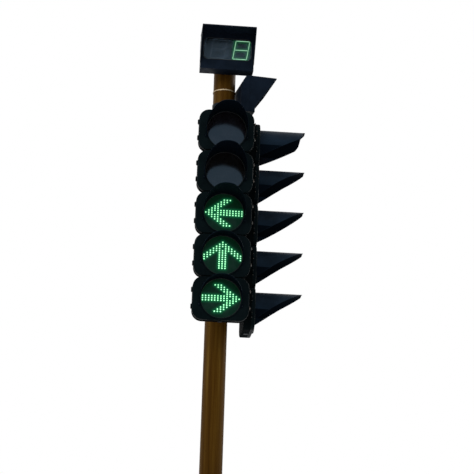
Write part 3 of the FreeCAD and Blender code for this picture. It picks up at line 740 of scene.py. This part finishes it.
def digit_bars(bars, centre_x):
    """Outlines of a seven-bar digit's bars, as (x, z) with the digit's slant."""
    w, h, t = DIGIT_W / 2, DIGIT_H / 2, DIGIT_BAR / 2
    gap = 0.0012
    flat = {"top": (0, h), "middle": (0, 0), "bottom": (0, -h)}
    tall = {"upper_left": (-w, h / 2), "upper_right": (w, h / 2), "lower_left": (-w, -h / 2),
            "lower_right": (w, -h / 2)}
    outlines = []
    for bar in bars:
        if bar in flat:
            x, z = flat[bar]
            reach = w - gap
            corners = [(x - reach, z), (x - reach + t, z - t), (x + reach - t, z - t), (x + reach, z),
                       (x + reach - t, z + t), (x - reach + t, z + t)]
        else:
            x, z = tall[bar]
            reach = h / 2 - gap
            corners = [(x, z - reach), (x + t, z - reach + t), (x + t, z + reach - t), (x, z + reach),
                       (x - t, z + reach - t), (x - t, z - reach + t)]
        outlines.append([(centre_x + x + DIGIT_SLANT * z, z + DIGIT_Z) for x, z in corners])
    return outlines


ALL_BARS = ("top", "middle", "bottom", "upper_left", "upper_right", "lower_left", "lower_right")


def make_digit(name, place, centre_x, material):
    shape = Shape()
    for outline in digit_bars(ALL_BARS, centre_x):
        count = len(outline)
        middle_x = sum(p[0] for p in outline) / count
        middle_z = sum(p[1] for p in outline) / count
        inner = [(middle_x + (x - middle_x) * 0.94, middle_z + (z - middle_z) * 0.94) for x, z in outline]
        points = [(x, BOARD_FRONT, z) for x, z in outline]
        points += [(x, BOARD_FRONT - 0.0022, z) for x, z in inner]
        faces = [(k, (k + 1) % count, (k + 1) % count + count, k + count) for k in range(count)]
        faces.append(tuple(range(count, 2 * count)))
        shape.add(points, faces, [0.0] * count + [1.0] * count)
    shape.piece(name, place, material, ROOT, smooth=False)


def bar_distance(x, z, bars):
    """Distance from a point to the middle line of the nearest bar."""
    best = 1.0
    for (ax, az), (bx, bz) in bars:
        along = ((x - ax) * (bx - ax) + (z - az) * (bz - az)) / ((bx - ax) ** 2 + (bz - az) ** 2)
        along = min(1.0, max(0.0, along))
        best = min(best, math.hypot(x - ax - along * (bx - ax), z - az - along * (bz - az)))
    return best


def make_halo(head, place, material):
    """A thin sheet over the board with painted glow: it gives off light per vertex round the lit digit,
    standing for the digit's light spreading on the board.
    """
    bars = []
    for outline in digit_bars(ALL_BARS, RIGHT_DIGIT_X):
        far = max(((a, b) for a in outline for b in outline), key=lambda p: math.dist(p[0], p[1]))
        bars.append(far)
    columns, rows = 84, 100
    width, height = HALO_SIZE
    points, glow = [], []
    for j in range(rows + 1):
        for i in range(columns + 1):
            x = RIGHT_DIGIT_X + width * (i / columns - 0.5)
            z = WINDOW_Z + height * (j / rows - 0.5)
            points.append((x, BOARD_FRONT - 0.0003, z))
            glow.append(math.exp(-(bar_distance(x, z, bars) / HALO_SPREAD) ** 2))
    faces = []
    for j in range(rows):
        for i in range(columns):
            a = j * (columns + 1) + i
            faces.append((a, a + 1, a + columns + 2, a + columns + 1))
    shape = Shape()
    shape.add(points, faces, glow)
    shape.piece(f"{head}_timer_painted_glow", place, material, ROOT)


def make_timer(head, lit, halo):
    place = timer_place(head)
    make_halo(head, place, halo)
    make_digit(f"{head}_timer_digit_left", place, LEFT_DIGIT_X, BAR_DARK)
    make_digit(f"{head}_timer_digit_right", place, RIGHT_DIGIT_X, lit)
    gasket = Shape()
    outline = rounded_outline(WINDOW_W, WINDOW_H, WINDOW_R, 10)
    gasket.tube([(x, -0.0004, z + WINDOW_Z) for x, z in outline], 0.0021, True, 8)
    gasket.piece(f"{head}_timer_window_seal", place, RUBBER, ROOT)
    screws = Shape()
    for x in (-0.178, -0.06, 0.06, 0.178):
        for z in (-0.125, 0.127):
            socket_screw(screws, (x, 0.0, z), 0.0040, 0.0026)
    screws.piece(f"{head}_timer_screws", place, MATERIALS["timer_paint"], ROOT)
    sides = Shape()
    for y in (0.012, 0.030):
        for z in (-0.080, 0.0, 0.070, 0.130):
            for sign in (-1, 1):
                side_screw(sides, (sign * HOOD_X, y, z), sign, 0.0038, 0.0024)
    sides.piece(f"{head}_timer_hood_screws", place, MATERIALS["timer_paint"], ROOT)
    bead = Shape()
    edge = HOOD_X - 0.001
    for x in (-edge, edge):
        bead.tube([(x, HOOD_TIP_Y + 0.001, HOOD_TIP_Z), (x, -0.0005, HOOD_LOW_Z)], HOOD_BEAD_R)
    bead.tube([(x, HOOD_TIP_Y + 0.001, HOOD_TIP_Z) for x in (-edge, edge)], HOOD_BEAD_R)
    bead.piece(f"{head}_timer_hood_bead", place, MATERIALS["timer_paint"], ROOT)


# ------------------------------------------------------------ assembly

for head in ("front", "side"):
    for number in SECTIONS:
        place = section_place(head, number)
        make_lens(head, number, place)
        make_visor_bead(head, number, place)
        make_screws(head, number, place)
        make_seals(head, number, place)
        make_inside(head, number, place)

make_timer("front", BAR_GREEN, HALO_GREEN)
make_timer("side", BAR_RED, HALO_RED)


def ring_bead(name, radius, z, thickness, material):
    """A slightly uneven weld or sealant bead round the pole."""
    shape = Shape()
    path = []
    for k in range(180):
        angle = 2 * math.pi * k / 180
        wobble = 0.0004 * math.sin(23 * angle) + 0.0003 * math.sin(41 * angle + 1)
        path.append(((radius + wobble) * math.cos(angle), (radius + wobble) * math.sin(angle), z + wobble))
    shape.tube(path, thickness, True, 10)
    shape.piece(name, Matrix.Identity(4), material, ROOT)


flange_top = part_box("pole_lower_tube")[0].z
collar_low, collar_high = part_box("pole_joint_collar")
POLE_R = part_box("pole_lower_tube")[1].x
ring_bead("flange_weld", POLE_R + 0.0015, flange_top + 0.0015, 0.0034, MATERIALS["pole_paint"])
ring_bead("collar_weld_low", POLE_R + 0.001, collar_low.z, 0.0022, MATERIALS["pole_paint"])
ring_bead("collar_weld_high", POLE_R + 0.001, collar_high.z, 0.0022, MATERIALS["pole_paint"])

# ---------------------------------------------------------------- stage

# The camera looks up from below the flange, so the floor lies lower still.
FLOOR_Z = -3.3
FLOOR_REACH = 60.0
corners = ((-1, -1), (1, -1), (1, 1), (-1, 1))
floor_corners = [(x * FLOOR_REACH, y * FLOOR_REACH, FLOOR_Z) for x, y in corners]
floor_mesh = bpy.data.meshes.new("floor")
floor_mesh.from_pydata(floor_corners, [], [(0, 1, 2, 3)])
floor_mesh.materials.append(pale_floor("pale_floor"))
floor = bpy.data.objects.new("floor", floor_mesh)
bpy.context.scene.collection.objects.link(floor)

world = bpy.data.worlds.new("studio")
world.use_nodes = True
sky = world.node_tree.nodes["Background"]
sky.inputs["Color"].default_value = (1.0, 1.0, 1.0, 1.0)
sky.inputs["Strength"].default_value = 1.0
bpy.context.scene.world = world


def area_light(name, place, target, size, power):
    data = bpy.data.lights.new(name, "AREA")
    data.size = size
    data.energy = power
    lamp = bpy.data.objects.new(name, data)
    lamp.location = place
    lamp.rotation_mode = "QUATERNION"
    lamp.rotation_quaternion = (Vector(target) - Vector(place)).to_track_quat("-Z", "Y")
    bpy.context.scene.collection.objects.link(lamp)


area_light("key", (-5.0, -6.0, 7.0), (0, 0, 2.2), 4.0, 420.0)
area_light("rim", (6.0, 4.0, 6.0), (0, 0, 2.2), 4.0, 260.0)

CAMERA_PLACE = (-0.773, -11.06, -1.309)
YAW = math.radians(4.696)
PITCH = math.radians(16.092)
ROLL = math.radians(1.858)
forward = Vector((math.sin(YAW) * math.cos(PITCH), math.cos(YAW) * math.cos(PITCH), math.sin(PITCH)))
level = forward.cross(Vector((0, 0, 1))).normalized()
above = level.cross(forward)
right = level * math.cos(ROLL) + above * math.sin(ROLL)
up = above * math.cos(ROLL) - level * math.sin(ROLL)
lens = bpy.data.cameras.new("camera")
lens.lens = 116.4
lens.sensor_width = 36.0
lens.clip_end = 200.0
camera = bpy.data.objects.new("camera", lens)
turn = Matrix((right, up, -forward)).transposed().to_4x4()
camera.matrix_world = Matrix.Translation(CAMERA_PLACE) @ turn
bpy.context.scene.collection.objects.link(camera)
bpy.context.scene.camera = camera
bpy.context.scene.view_settings.view_transform = "Standard"
